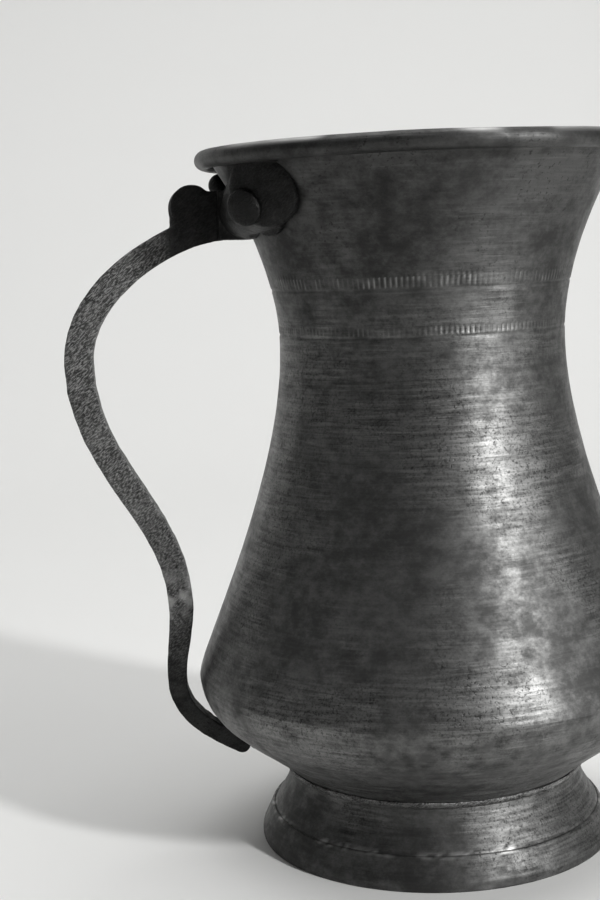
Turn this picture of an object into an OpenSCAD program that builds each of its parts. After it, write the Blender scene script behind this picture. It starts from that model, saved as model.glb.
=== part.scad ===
// Footed metal tankard with an open mouth and an S-shaped bar handle.
// Millimetres. The vessel's axis is Z, it stands on Z = 0, and the handle lies along -X.
// Outlines are drawn in a half plane as [radius, height] and turned about Z.

/* [Vessel] */
// Overall height, from the table to the top of the rolled rim
total_h = 180; // [150:1:216]
// Outer radius of the belly at its widest line
belly_r = 61.3; // [51:0.1:74]
// Height of the belly's widest line
belly_z = 44.7; // [40:0.1:52]
// Outer radius of the neck at its narrowest line
neck_r = 36.6; // [31:0.1:44]
// Distance from the top of the rim down to the neck's narrowest line
neck_drop = 49; // [44:0.5:56]
// Outer radius of the rolled rim
rim_r = 56.5; // [50:0.1:64]
// Slope of the wall where it enters the rim, from vertical
flare_a = 40; // [32:1:46]
// Sheet thickness of the upper wall
wall_t = 1.3; // [1:0.1:1.6]
// Sheet thickness of the bowl
bowl_t = 1.6; // [1.3:0.1:2]

/* [Rim] */
// Radius of the wire that the rim is rolled over
wire_r = 1; // [0.8:0.1:1.2]
// Clearance between the wire and the rolled sheet
wire_gap = 0.05; // [0.02:0.01:0.1]
// Angle left open between the tucked edge of the roll and the wall
roll_open_a = 8; // [6:1:12]

/* [Bowl] */
// Slope of the bowl's underside where it meets the foot, from horizontal
under_a = 43; // [36:1:48]
// Height of the bowl's lowest outside point
bottom_z = 12.5; // [10:0.5:14]
// Height of the bowl's lip that is lapped inside the upper wall
lap_h = 5; // [4:0.5:7]
// Thickness of that lip
lap_t = 1; // [0.8:0.1:1.2]

/* [Neck bands] */
// Height of the lower engraved line above the narrowest line
band_low = 1.8; // [1:0.1:4]
// Height of the upper engraved line above the narrowest line
band_high = 13.2; // [10:0.1:16]
// Radius of the tool that cut the lines
line_tool_r = 0.4; // [0.3:0.05:0.5]
// Depth of the lines
line_depth = 0.2; // [0.1:0.05:0.3]

/* [Foot] */
// Height at which the foot meets the bowl
foot_h = 19.3; // [17:0.1:23]
// Outer radius of the foot where it meets the bowl
joint_r = 38.3; // [34:0.1:42]
// Outer radius of the foot's flare at the table
flare_r = 45.2; // [43:0.1:50]
// Sheet thickness of the foot
foot_t = 1.5; // [1.2:0.1:1.8]
// Height of the hoop around the base of the foot
hoop_h = 8; // [6:0.1:10]
// How far the hoop stands out beyond the flare at the table
hoop_out = 1.2; // [1:0.1:1.6]
// Thickness of the hoop's upper edge
hoop_edge = 0.7; // [0.5:0.1:1]
// Height of the hoop's upright part
hoop_land = 2.2; // [1.5:0.1:3]
// Radius of the solder fillet between foot and bowl
fillet_r = 1.1; // [0.8:0.1:1.4]

/* [Saddle] */
// Distance from the top of the rim down to the middle of the ears
ear_drop = 14; // [13:0.1:18]
// Angle of each ear's middle from the handle's plane
ear_a = 30.5; // [26:0.5:34]
// Radius of each ear
ear_r = 10.6; // [9:0.1:12]
// Thickness of the ears
plate_t = 2.2; // [1.8:0.1:2.6]
// Distance from the wall to the saddle's outer face
boss_out = 6.2; // [5:0.1:8]
// How much wider the boss is than the handle, on each side
boss_side = 1.6; // [1:0.1:2.5]
// Clearance between the ears and the rolled rim
rim_clear = 0.25; // [0.1:0.05:0.5]

/* [Rivets] */
// Angle of each rivet from the handle's plane
rivet_a = 18; // [16:0.5:20]
// Distance from the top of the rim down to the rivets
rivet_drop = 15; // [14:0.1:18]
// Radius of the rivet's shank
shank_r = 1.7; // [1.4:0.1:2]
// Radius of the domed outer head
head_r = 4.2; // [3.6:0.1:4.6]
// Height of the domed outer head
head_h = 2; // [1.5:0.1:2.5]
// Radius of the hammered inner head
burr_r = 3; // [2.6:0.1:3.4]
// Height of the hammered inner head
burr_h = 1; // [0.8:0.1:1.4]
// Clearance between the shank and its hole
rivet_gap = 0.05; // [0.02:0.01:0.1]
// Depth of the flat seat under the outer head
seat_out = 0.3; // [0.25:0.05:0.5]
// Depth of the flat seat under the inner head
seat_in = 0.2; // [0.15:0.05:0.3]

/* [Handle] */
// Width of the handle's bar, across its plane
bar_w = 7; // [6:0.1:8.5]
// Height of the bar where it meets the saddle
bar_h = 12.6; // [11:0.1:14]
// Distance from the top of the rim down to the middle of the bar
bar_drop = 16.4; // [15:0.1:20]
// Radius of the thumb lobe
lobe_r = 5.4; // [4.5:0.1:6.5]
// Distance from the saddle's face to the middle of the thumb lobe
lobe_out = 6.4; // [5:0.1:8]
// Height of the lobe's middle above the bar's middle
lobe_rise = 2.7; // [1:0.1:4]
// Length from the saddle's face to where the bar becomes a strap
neck_len = 7.3; // [6:0.1:9]
// Distance from the bar's middle down to the strap's middle where it starts
strap_drop = 4.4; // [3:0.1:6]
// How far the strap's middle stands out beyond the belly at its furthest
grip_out = 26.8; // [22:0.1:34]
// Distance from the bar's middle down to that furthest point
grip_fall = 36; // [30:0.5:42]
// How far the strap's middle stands out beyond the belly at its waist
waist_out = 3.9; // [3.6:0.1:6]
// Height of the waist above the belly's widest line
waist_rise = 18.5; // [15:0.5:24]
// How far the strap's middle stands out beyond the belly at its heel
heel_out = 5.9; // [5:0.1:8]
// Height of the heel below the belly's widest line
heel_fall = 0.6; // [0:0.1:3]
// Where the strap's tip lands on the underside, from the foot (0) to the belly (1)
tip_at = 0.48; // [0.4:0.01:0.6]
// Strap thickness where it leaves the bar
strap_top_t = 6.9; // [6:0.1:8]
// Strap thickness at its furthest point
strap_grip_t = 7.4; // [6:0.1:8.5]
// Strap thickness at its waist
strap_waist_t = 6.5; // [5:0.1:7]
// Strap thickness at its heel
strap_heel_t = 5.1; // [4:0.1:6]
// Strap thickness at its tip
strap_tip_t = 4.6; // [4:0.1:5.5]

/* [Lower solder joint] */
// Thickness of solder between the strap's tip and the bowl
pad_t = 0.6; // [0.4:0.1:1]
// Length of the solder along the bowl
pad_len = 10; // [8:0.5:12]
// Width of the solder, across the handle's plane
pad_w = 6; // [5:0.1:7]

/* [Hidden] */
$fn = 180;
pewter = [0.31, 0.31, 0.30];
tinned = [0.36, 0.36, 0.35];
iron = [0.26, 0.26, 0.26];
solder = [0.48, 0.48, 0.47];

// Steps along each curved stretch of an outline
body_steps = 14;
foot_steps = 10;
strap_steps = 12;
roll_steps = 22;
// A cut starts and ends this far clear of what it cuts
over = 1;

neck_z = total_h - neck_drop;
roll_r = wire_r + wire_gap + wall_t;
roll_c = [rim_r - roll_r, total_h - roll_r];
hole_r = wire_r + wire_gap;
// Directions from the middle of the wire to where the roll leaves the wall and where its edge is tucked
roll_from_a = 180 - flare_a;
wall_below_a = -152;
roll_to_a = wall_below_a + roll_open_a;

// Cubic curve through a and d, pulled towards b and c, and its direction
function bez(s, u) =
    s[0] * pow(1 - u, 3) + 3 * s[1] * u * pow(1 - u, 2) + 3 * s[2] * u * u * (1 - u) + s[3] * pow(u, 3);
function bez_dir(s, u) =
    3 * (s[1] - s[0]) * pow(1 - u, 2) + 6 * (s[2] - s[1]) * u * (1 - u) + 3 * (s[3] - s[2]) * u * u;
function left_of(v) = [-v[1], v[0]] / norm(v);
function run(s, n, off = 0) =
    [for (i = [0:n]) bez(s, i / n) + off * left_of(bez_dir(s, i / n))];
function reversed(p) = [for (i = [len(p) - 1:-1:0]) p[i]];
function rest(p) = [for (i = [1:len(p) - 1]) p[i]];
// Radius of an outline at a height, and height of an outline at a radius
function radius_at(p, z) = lookup(z, [for (q = p) [q[1], q[0]]]);
function height_at(p, r) = lookup(r, p);
// The part of an upward outline that is below a height
function below(p, z) = concat([for (q = p) if (q[1] < z) q], [[radius_at(p, z), z]]);
function polar(r, a) = r * [cos(a), sin(a)];
// One face of the rolled sheet, from the wall over the top to the tucked edge
function roll_arc(r) =
    [for (i = [1:roll_steps]) roll_c + polar(r, roll_from_a + (roll_to_a - roll_from_a) * i / roll_steps)];

// Outer outline of the vessel, in four stretches from the axis up to the rim.
// The pulls set how tightly each stretch bends.
base_pull = 20;
joint_pull = 8;
under_pull = 15.5;
bilge_low_pull = 12;
bilge_high_pull = 5;
neck_low_pull = 34.5;
neck_high_pull = 19;
mouth_pull = 7;
base_c = [[0, bottom_z], [base_pull, bottom_z], [joint_r, foot_h] - polar(joint_pull, under_a),
          [joint_r, foot_h]];
under_c = [[joint_r, foot_h], [joint_r, foot_h] + polar(under_pull, under_a),
           [belly_r, belly_z - bilge_low_pull], [belly_r, belly_z]];
flank_c = [[belly_r, belly_z], [belly_r, belly_z + bilge_high_pull],
           [neck_r, neck_z - neck_low_pull], [neck_r, neck_z]];
lip_end = roll_c + polar(hole_r, roll_from_a);
mouth_c = [[neck_r, neck_z], [neck_r, neck_z + neck_high_pull],
           lip_end - polar(mouth_pull, 90 - flare_a), lip_end];
upper_outline = concat(run(flank_c, body_steps), rest(run(mouth_c, body_steps)));
under_outline = run(under_c, body_steps);

// Upper wall, offset inwards by off, from the widest line to the rim
function wall_line(off) =
    concat(run(flank_c, body_steps, off), rest(run(mouth_c, body_steps, off)));
function bowl_line(off) =
    concat(run(base_c, foot_steps, off), rest(run(under_c, body_steps, off)));

// Slope of the upper wall from vertical at a height
slope_step = 0.05;
function wall_slope(z) =
    atan((radius_at(upper_outline, z + slope_step) - radius_at(upper_outline, z - slope_step))
         / (2 * slope_step));

// Foot
foot_top_pull = 8.3;
foot_base_pull = 9;
foot_c = [[joint_r, foot_h], [joint_r, foot_h - foot_top_pull], [flare_r, foot_base_pull], [flare_r, 0]];
foot_outline = reversed(run(foot_c, foot_steps));
hoop_line = below(foot_outline, hoop_h);
hoop_r = flare_r + hoop_out;

// Saddle and rivets
ear_z = total_h - ear_drop;
rivet_z = total_h - rivet_drop;
bar_z = total_h - bar_drop;
boss_r = radius_at(upper_outline, bar_z) + boss_out;
boss_w = bar_w + 2 * boss_side;
grip_t = plate_t + wall_t - seat_out - seat_in;

// Strap's middle line, as [distance out from the axis, height], in four stretches.
// The pulls set how tightly it bends above and below each of its upright points.
top_pull = 15.5;
grip_pulls = [14.5, 28];
waist_pulls = [25.5, 5.5];
heel_pulls = [6.5, 9.5];
tip_pull = 8.5;
tip_lift_a = 6;
strap_top = [boss_r + neck_len, bar_z - strap_drop];
strap_top_a = 18;
grip = [belly_r + grip_out, bar_z - grip_fall];
waist = [belly_r + waist_out, belly_z + waist_rise];
heel = [belly_r + heel_out, belly_z - heel_fall];
tip_r = joint_r + tip_at * (belly_r - joint_r);
tip_z = height_at(under_outline, tip_r);
tip_a = atan((height_at(under_outline, tip_r + slope_step) - height_at(under_outline, tip_r - slope_step))
             / (2 * slope_step));
tip = [tip_r, tip_z] - (pad_t + strap_tip_t / 2) * polar(1, tip_a + 90);
strap_c = [
    [strap_top, strap_top + polar(top_pull, -strap_top_a), grip + [0, grip_pulls[0]], grip],
    [grip, grip - [0, grip_pulls[1]], waist + [0, waist_pulls[0]], waist],
    [waist, waist - [0, waist_pulls[1]], heel + [0, heel_pulls[0]], heel],
    [heel, heel - [0, heel_pulls[1]], tip + polar(tip_pull, tip_a - tip_lift_a), tip]
];
strap_t = [strap_top_t, strap_grip_t, strap_waist_t, strap_heel_t, strap_tip_t];
function strap_edge(side) =
    [for (s = [0:3], i = [0:strap_steps - 1]) strap_point(s, i / strap_steps, side)];
function strap_point(s, u, side) =
    bez(strap_c[s], u)
    + side * (strap_t[s] * (1 - u) + strap_t[s + 1] * u) / 2 * left_of(bez_dir(strap_c[s], u));
strap_outline = concat(strap_edge(1), [strap_point(3, 1, 1), strap_point(3, 1, -1)],
                       reversed(strap_edge(-1)));

// Turns an outline about the vessel's axis
module turned(p) {
    rotate_extrude() polygon(p);
}

// A ring of round section about the vessel's axis
module round_ring(centre, r) {
    rotate_extrude() translate(centre) circle(r = r);
}

// Everything inside the vessel's outer surface
module vessel_body() {
    turned(concat(bowl_line(0), rest(upper_outline), [[0, lip_end[1]]]));
}

// Places children on the upper wall, at an angle from the handle's plane, with +Z out of the wall
module on_wall(angle, z) {
    rotate([0, 0, 180 + angle])
        translate([radius_at(upper_outline, z), 0, z])
            rotate([0, 90 + wall_slope(z), 0])
                children();
}

// Puts an outline drawn as [distance out, height] into the handle's plane, w wide
module in_handle_plane(w) {
    translate([0, w / 2, 0])
        rotate([90, 0, 0])
            linear_extrude(w)
                mirror([1, 0, 0])
                    children();
}

// Sheet from the belly's widest line up to the rim, rolled outwards over the wire
module upper_wall() {
    color(pewter)
        difference() {
            turned(concat(
                wall_line(0),
                roll_arc(hole_r),
                reversed(roll_arc(roll_r)),
                reversed(wall_line(wall_t))
            ));
            neck_line(neck_z + band_low);
            neck_line(neck_z + band_high);
            rivet_cuts();
        }
}

// Ring-shaped cut that leaves one engraved line on the neck
module neck_line(z) {
    round_ring([radius_at(upper_outline, z) + line_tool_r - line_depth, z], line_tool_r);
}

// Wire inside the rolled rim
module rim_wire() {
    color(iron) round_ring(roll_c, wire_r);
}

// Bowl with its bottom, and a lip that is lapped inside the upper wall
module bowl() {
    lip_top = belly_z + lap_h;
    joggle_z = belly_z - lap_h / 2;
    inner = [for (q = bowl_line(bowl_t)) if (q[1] < joggle_z) q];
    color(tinned)
        turned(concat(
            bowl_line(0),
            below(wall_line(wall_t), lip_top),
            reversed(below(wall_line(wall_t + lap_t), lip_top)),
            reversed(inner),
            [[0, bottom_z + bowl_t]]
        ));
}

// Flared sheet ring that the bowl stands on
module foot_ring() {
    color(pewter)
        difference() {
            turned(concat(
                foot_outline,
                [[joint_r, foot_h + over], [joint_r - foot_t, foot_h + over]],
                run(foot_c, foot_steps, -foot_t)
            ));
            vessel_body();
        }
}

// Thicker hoop around the base of the foot
module foot_hoop() {
    color(pewter)
        turned(concat(
            hoop_line,
            [[radius_at(foot_outline, hoop_h) + hoop_edge, hoop_h], [hoop_r, hoop_land], [hoop_r, 0]]
        ));
}

// Solder fillet in the corner between the foot and the bowl
module foot_solder() {
    color(solder)
        difference() {
            round_ring([joint_r, foot_h], fillet_r);
            vessel_body();
            turned([[0, 0], [joint_r, 0], [joint_r, foot_h + over], [0, foot_h + over]]);
            turned(concat(foot_outline, [[0, foot_h], [0, 0]]));
        }
}

// Plate with two ears that hugs the neck and carries the handle
module saddle_plate() {
    shell = concat(
        run(mouth_c, body_steps),
        reversed(run(mouth_c, body_steps, -plate_t))
    );
    bridge_w = 2 * radius_at(upper_outline, ear_z) * sin(ear_a);
    // The ears are cut from the curved plate by cylinders that reach well past both of its faces
    ear_cut_h = 4 * plate_t;
    color(iron)
        difference() {
            union() {
                intersection() {
                    turned(shell);
                    union() {
                        for (side = [-1, 1])
                            on_wall(side * ear_a, ear_z)
                                cylinder(r = ear_r, h = ear_cut_h, center = true);
                        translate([-rim_r, -bridge_w / 2, bar_z - bar_h / 2])
                            cube([rim_r / 2, bridge_w, bar_h]);
                    }
                }
                translate([-boss_r, -boss_w / 2, bar_z - bar_h / 2])
                    cube([boss_r / 2, boss_w, bar_h]);
            }
            vessel_body();
            round_ring(roll_c, roll_r + rim_clear);
            rivet_cuts();
        }
}

// Holes and flat seats for both rivets
module rivet_cuts() {
    for (side = [-1, 1])
        on_wall(side * rivet_a, rivet_z) {
            translate([0, 0, -wall_t - over])
                cylinder(r = shank_r + rivet_gap, h = wall_t + plate_t + 2 * over);
            translate([0, 0, plate_t - seat_out])
                cylinder(r = head_r, h = boss_out);
            translate([0, 0, -wall_t + seat_in - burr_h])
                cylinder(r = burr_r, h = burr_h);
        }
}

// Two rivets with a domed outer head and a hammered inner head
module rivets() {
    dome_r = (head_r * head_r + head_h * head_h) / (2 * head_h);
    color(iron)
        for (side = [-1, 1])
            on_wall(side * rivet_a, rivet_z)
                translate([0, 0, plate_t - seat_out]) {
                    intersection() {
                        cylinder(r = head_r, h = head_h);
                        translate([0, 0, head_h - dome_r]) sphere(r = dome_r);
                    }
                    translate([0, 0, -grip_t]) cylinder(r = shank_r, h = grip_t);
                    translate([0, 0, -grip_t - burr_h]) cylinder(r = burr_r, h = burr_h);
                }
}

// Bar, thumb lobe and strap, forged in one
module handle() {
    lobe = [boss_r + lobe_out, bar_z + lobe_rise];
    strap_top_low = strap_point(0, 0, -1);
    color(iron)
        union() {
            in_handle_plane(bar_w)
                polygon([
                    [boss_r, bar_z - bar_h / 2],
                    [boss_r, bar_z + bar_h / 2],
                    [lobe[0], bar_z + bar_h / 2],
                    strap_top,
                    strap_top_low
                ]);
            in_handle_plane(bar_w)
                translate(lobe) circle(r = lobe_r);
            in_handle_plane(bar_w)
                polygon(strap_outline);
            in_handle_plane(bar_w)
                translate(tip) circle(r = strap_tip_t / 2);
        }
}

// Solder between the strap's tip and the bowl's underside
module tip_solder() {
    behind_tip = pad_len / 3;
    climb = strap_tip_t / 3;
    color(solder)
        difference() {
            in_handle_plane(pad_w)
                translate([tip_r, tip_z])
                    rotate(tip_a)
                        translate([-behind_tip, -pad_t - climb])
                            square([pad_len, pad_t + climb + over]);
            vessel_body();
            in_handle_plane(bar_w)
                polygon(strap_outline);
            in_handle_plane(bar_w)
                translate(tip) circle(r = strap_tip_t / 2);
        }
}

upper_wall();
rim_wire();
bowl();
foot_ring();
foot_hoop();
foot_solder();
saddle_plate();
rivets();
handle();
tip_solder();
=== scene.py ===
"""Looks of the footed tankard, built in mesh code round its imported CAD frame.

Metres, +Z up, with the handle along -X.
"""

import math

import bmesh
import bpy
import numpy as np
from mathutils import Matrix, Vector, noise
from mathutils.bvhtree import BVHTree


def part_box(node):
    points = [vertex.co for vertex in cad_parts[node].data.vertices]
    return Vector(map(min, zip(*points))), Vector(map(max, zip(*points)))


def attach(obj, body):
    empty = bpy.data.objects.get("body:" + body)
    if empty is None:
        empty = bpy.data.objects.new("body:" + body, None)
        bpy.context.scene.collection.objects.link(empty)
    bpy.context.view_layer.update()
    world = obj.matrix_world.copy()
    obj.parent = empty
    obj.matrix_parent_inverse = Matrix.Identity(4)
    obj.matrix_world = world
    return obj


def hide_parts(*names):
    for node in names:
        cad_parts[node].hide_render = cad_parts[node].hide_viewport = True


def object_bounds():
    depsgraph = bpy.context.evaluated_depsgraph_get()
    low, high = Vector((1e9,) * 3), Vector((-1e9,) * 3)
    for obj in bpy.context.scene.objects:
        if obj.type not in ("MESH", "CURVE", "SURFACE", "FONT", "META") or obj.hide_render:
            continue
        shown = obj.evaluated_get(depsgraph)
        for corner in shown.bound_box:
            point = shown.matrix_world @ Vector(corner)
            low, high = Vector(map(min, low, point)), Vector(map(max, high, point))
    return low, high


MM = 0.001
TAU = 2 * math.pi
UP = np.array([0, 0, 1.0])

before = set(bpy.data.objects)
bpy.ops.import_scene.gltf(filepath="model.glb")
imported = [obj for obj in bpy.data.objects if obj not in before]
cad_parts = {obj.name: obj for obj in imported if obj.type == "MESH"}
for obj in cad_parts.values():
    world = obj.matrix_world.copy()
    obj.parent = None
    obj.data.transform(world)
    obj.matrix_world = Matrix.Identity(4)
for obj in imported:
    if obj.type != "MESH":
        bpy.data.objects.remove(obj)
cad_low, cad_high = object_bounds()

# Turned skins: columns round the vessel, and how many times finer they are along marks that need it
COLUMNS = 240
FINE = 3
# A row this close to a corner keeps it crisp
CRISP = 0.015 * MM

# The CAD outlines are read in one direction, away from the handle, its saddle and its rivets. Rays from
# outside start FAR from the axis, and one that slips through an edge is moved up by SLIP
READ_TURN = 0.2
READ_WAY = Vector((math.cos(READ_TURN), math.sin(READ_TURN), 0))
FAR = 0.2
SLIP = 0.002 * MM
TRIES = 9
# How far inside a node's edge its face is read
AT_EDGE = 0.01 * MM
IN_EDGE = 0.02 * MM

# Each seed moves the noise along by SEED_STEP, from SEED_START
SEED_STEP = 31.7
SEED_START = 5.3

# Unevenness left by hand work, as layers of noise: (depth, size of its features, seed)
DENTS = ((0.16 * MM, 45 * MM, 1), (0.05 * MM, 13 * MM, 2))
SCRAPER_RINGS = (0.025 * MM, 3.4 * MM, 4)
SCRAPER_CHATTER = (0.03 * MM, 5 * MM, 5)
BOWL_LUMPS = (0.04 * MM, 9 * MM, 6)
FOOT_LUMPS = (0.05 * MM, 8 * MM, 7)
FOOT_OUT_OF_ROUND = (0.12 * MM, 40 * MM, 8)
HOOP_LUMPS = (0.07 * MM, 7 * MM, 9)
HOOP_EDGE = (0.22 * MM, 15 * MM, 10)
SOLDER_LUMPS = ((0.3 * MM, 4 * MM, 12), (0.22 * MM, 1.7 * MM, 13))
FORGED = ((0.16 * MM, 8 * MM, 14), (0.07 * MM, 2.6 * MM, 15), (0.03 * MM, 1.1 * MM, 16))
RAGGED = ((0.35 * MM, 1.6 * MM, 17), (0.2 * MM, 0.8 * MM, 18))
# How far each surface lies inside the CAD one, which leaves room for the layers above
SHEET_IN = 0.12 * MM
FOOT_IN = 0.1 * MM
FORGED_IN = 0.12 * MM
# The scraper's rings run on round the vessel: their noise changes at this share of its rate upwards
RING_FLAT = 0.12
# The rim's edge dips by up to twice this, from SAG_REACH below the top
SAG = 0.3 * MM
SAG_REACH = 16 * MM
SAG_SIZE = 38 * MM
# Marks on a turned face fade out over this distance from the seam and from the floor
SEAM_FADE = 2 * MM
FLOOR_FADE = 1 * MM

# The upper wall: spacing of its rows outside, along the bands and inside, and how many rows its straight
# line is evened over
WALL_STEP = 1.1 * MM
BAND_STEP = 0.3 * MM
INSIDE_STEP = 2.6 * MM
EVENED = 9
# Spacing at which the faces are read, and the finer one that finds the engraved lines
READ_STEP = 0.5 * MM
FIND_STEP = 0.1 * MM
# Heights above the seam between which the neck and its engraved lines lie
NECK_FROM = 60 * MM
NECK_TO = 110 * MM
# The wall's hem: how far it laps over the bowl, how far it stands out, and where the plain wall goes on
HEM = 0.3 * MM
HEM_OUT = 0.02 * MM
ABOVE_HEM = 0.3 * MM
# Up to EASE_FROM above the seam the outer face is the CAD belly's, and from EASE_TO up it is the plain wall
EASE_FROM = 2 * MM
EASE_TO = 8 * MM
# Rolled rim: how far above its middle the wall starts to roll, as a share of its radius, the angle at which
# its tucked edge ends, seen from the wire's middle, and its rows outside and in its hollow
ROLL_START = 0.62
TUCK = math.radians(-144)
ROLL_ROWS = 26
HOLLOW_ROWS = 9

# Engraved lines, and how deep a dip in the CAD face counts as one
LINE_WIDTH = 0.35 * MM
LINE_DEPTH = 0.18 * MM
LINE_SEEN = 0.1 * MM
# Short punched strokes above each line: how many go round, their depth, height above the line, fade, lean
# and raggedness, and each row's length and seed
STROKES = COLUMNS * FINE // 4
STROKE_DEPTH = 0.22 * MM
STROKE_GAP = 0.35 * MM
STROKE_FADE = 0.5 * MM
STROKE_LEAN = 0.6
STROKE_WANDER = 0.12
STROKE_RUNS = (2.3 * MM, 3.7 * MM)
STROKE_SEEDS = (11, 21)
BAND_MARGIN = 1.2 * MM
# The rubbed edge of each stroke lies this far below it, and that of the rim between these depths
STROKE_EDGE = 0.15 * MM
RIM_BRIGHT = (1.6 * MM, 0.3 * MM)

# The bowl: spacing of its rows, the angles below the seam at which it is read, and its lip's clearances
BOWL_STEP = 0.7 * MM
BOWL_INSIDE_STEP = 2 * MM
BOWL_TURNS = np.radians(np.linspace(-89.9, -1.0, 120))
BOWL_INSIDE_END = math.radians(-6)
BOWL_EVENED = 5
LIP_FROM = 0.3 * MM
LIP_TO = 0.2 * MM
LIP_ROWS = 5
# The hammer's marks: their size, depth and slope, how bright the ridges between them are, and the heights
# between which they come and go
DIMPLE = 3.6 * MM
DIMPLE_DEPTH = 0.15 * MM
DIMPLE_SLOPE = 0.75
RIDGE_BRIGHT = 0.1
HAMMERED_IN = (24 * MM, 29 * MM)
HAMMERED_OUT = (42 * MM, 44.5 * MM)

# The hoop: heights over which its upper edge starts to wander, and how far its rubbed edge reaches
HOOP_TOP = (6 * MM, 8 * MM)
HOOP_RUBBED = 0.6 * MM

# The handle: how far its end sinks into the saddle, and over which distances from it
END_SUNK = 1.5 * MM
END_REACH = (1.2 * MM, 0.3 * MM)
# The strap narrows downwards by this share between these heights, and is ragged on top below the others
STRAP_TAPER = 0.18
TAPER_HEIGHTS = (60 * MM, 150 * MM)
RAGGED_HEIGHTS = (30 * MM, 38 * MM)
# Share of the handle's height at which its strap has a painted highlight, and how far the highlight reaches
HIGHLIGHT_AT = 0.29
HIGHLIGHT_REACH = 5 * MM
# Thumb lobe: its radius, half thickness, distance from the saddle and gap below the handle's top, and how
# far its smaller heel lies behind and below it
LOBE_R = 6.0 * MM
LOBE_HALF = 3.5 * MM
LOBE_OUT = 6.5 * MM
LOBE_GAP = 0.15 * MM
HEEL_R = LOBE_R - 1.5 * MM
HEEL_BACK = 1.3 * MM
HEEL_DOWN = 3.0 * MM

# Ears: their middle's angle from the handle, the way they face, their tilt, height above the saddle's foot,
# distance from the wall, radius and half thickness
EAR_TURN = math.radians(35)
EAR_FACE = math.radians(56)
EAR_DIP = math.radians(14)
EAR_RISE = 14 * MM
EAR_OUT = 1.5 * MM
EAR_R = 9.3 * MM
EAR_HALF = 3.2 * MM
# The block that each ear runs on to: its place from the saddle's end, from the middle and below the
# handle's top, its lean, radius and half thickness
BLOCK_IN = 6.4 * MM
BLOCK_ASIDE = 3.4 * MM
BLOCK_DOWN = 8 * MM
BLOCK_LEAN = 0.25
BLOCK_R = 6 * MM
BLOCK_HALF = 3 * MM
# Small knob on the far side
NUB_IN = 1.4 * MM
NUB_ASIDE = 14 * MM
NUB_R = 3.2 * MM
NUB_HALF = 4.5 * MM
# The CAD plate's ears: the distance from the middle over which they are moved, back by an angle and up
EARS_REACH = (8 * MM, 18 * MM)
EARS_BACK = math.radians(3)
EARS_UP = 2.2 * MM
# The saddle stays this far under the wall's outer face, from this height up to this far below the top
SADDLE_GAP = 0.4 * MM
SADDLE_FROM = 140 * MM
SADDLE_TO = 0.5 * MM
# Rivets: their domes' radius and height, how deep they sit, and how far they lie from the ears' middles,
# towards the handle and down
DOME_R = 4.7 * MM
DOME_HIGH = 1.9 * MM
DOME_SUNK = 0.5 * MM
RIVET_ASIDE = 4.6 * MM
RIVET_DROP = -3.6 * MM
# Powers that flatten a disc's faces and square its edge
FLAT_FACE = 0.5
FLAT_EDGE = 0.6

# Materials: grain in features per metre, the same every way, and the slant of the file's marks
EVEN = (1, 1, 1)
CLOUDS = 60
PATCHES = 32
MOTTLE = 170
SPECKS = 1100
GRIT = 1500
LATHE_MARKS = 1250
FILE_MARKS = 4200
FILE_SLANT = math.radians(40)
LATHE_RELIEF = 0.14 * MM
FILE_RELIEF = 0.45 * MM
# Darkening grows between the top heights and fades between the low ones. Near the mouth it is dark patina.
# On the handle's top, the saddle and the rivets it is dark patina with painted shadow of the rim. It is
# weaker on the handle's side, where its fall between the side limits is a painted shadow edge
DARK_TOP = (132 * MM, 176 * MM)
DARK_LOW = (45 * MM, 85 * MM)
SHADOW_EDGE = (-67 * MM, -61 * MM)
# Dark patina and painted shadow, the darker hollows of the tool marks, and pits are this share of the dark
# grey
DARKEST_SHARE = 0.3
PIT_SHARE = 0.35

# Paper backdrop: its half width and front edge, where it leaves the floor, its bend's radius and its top
PAPER_HALF = 2.2
PAPER_FRONT = -1.6
PAPER_BACK = 0.55
PAPER_BEND = 0.5
PAPER_TOP = 1.9
BEND_ROWS = 13
# In front of the vessel it is painted in shade, standing in for the unlit front of the room, which keeps its
# reflection in the metal down
PAPER_SHADED = (-0.7, -0.12)

# Lights aim at the vessel's middle, in a dim room
AIM = (0, 0, 0.08)
ROOM = 0.13

# Camera: its place, its turn, dip and roll, and its sensor's height and its lens in millimetres
CAMERA_AT = (-0.0563, -0.4005, 0.1559)
CAMERA_LOOK = (math.radians(3.4), math.radians(7.54), math.radians(-2.34))
SENSOR = 36
CAMERA_LENS = 62.4


def field(points, size, seed):
    """Smooth noise from about -1 to 1 at each point, with features about size metres across."""
    places = (np.asarray(points) / size + (SEED_STEP * seed + SEED_START)).tolist()
    return np.array([noise.noise(p) for p in places])


def uneven(points, *layers):
    """Sum of layers of noise, each given as (depth, size, seed)."""
    return sum(depth * field(points, size, seed) for depth, size, seed in layers)


def ramp(values, low, high):
    """0 below low, 1 above high, and a smooth rise between them."""
    t = np.clip((values - low) / (high - low), 0, 1)
    return t * t * (3 - 2 * t)


def bell(reach):
    """Weights that even a number out over this many neighbours each way."""
    weights = np.hanning(2 * reach + 3)[1:-1]
    return weights / weights.sum()


def smooth(values, reach):
    """Evens a run of numbers out over this many neighbours each way, keeping its ends."""
    padded = np.pad(values, reach, mode="reflect", reflect_type="odd")
    return np.convolve(padded, bell(reach), mode="valid")


# Reading the frame


def surface(node):
    """A CAD node's surface, ready for casting rays."""
    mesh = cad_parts[node].data
    return BVHTree.FromPolygons([v.co for v in mesh.vertices], [f.vertices for f in mesh.polygons])


def reach(tree, start, way):
    """Distance from the start to the surface's first face that way."""
    for slip in range(TRIES):
        found = tree.ray_cast(start + Vector((0, 0, slip * SLIP)), way)[3]
        if found is not None:
            return found
    raise ValueError("no face that way")


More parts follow.
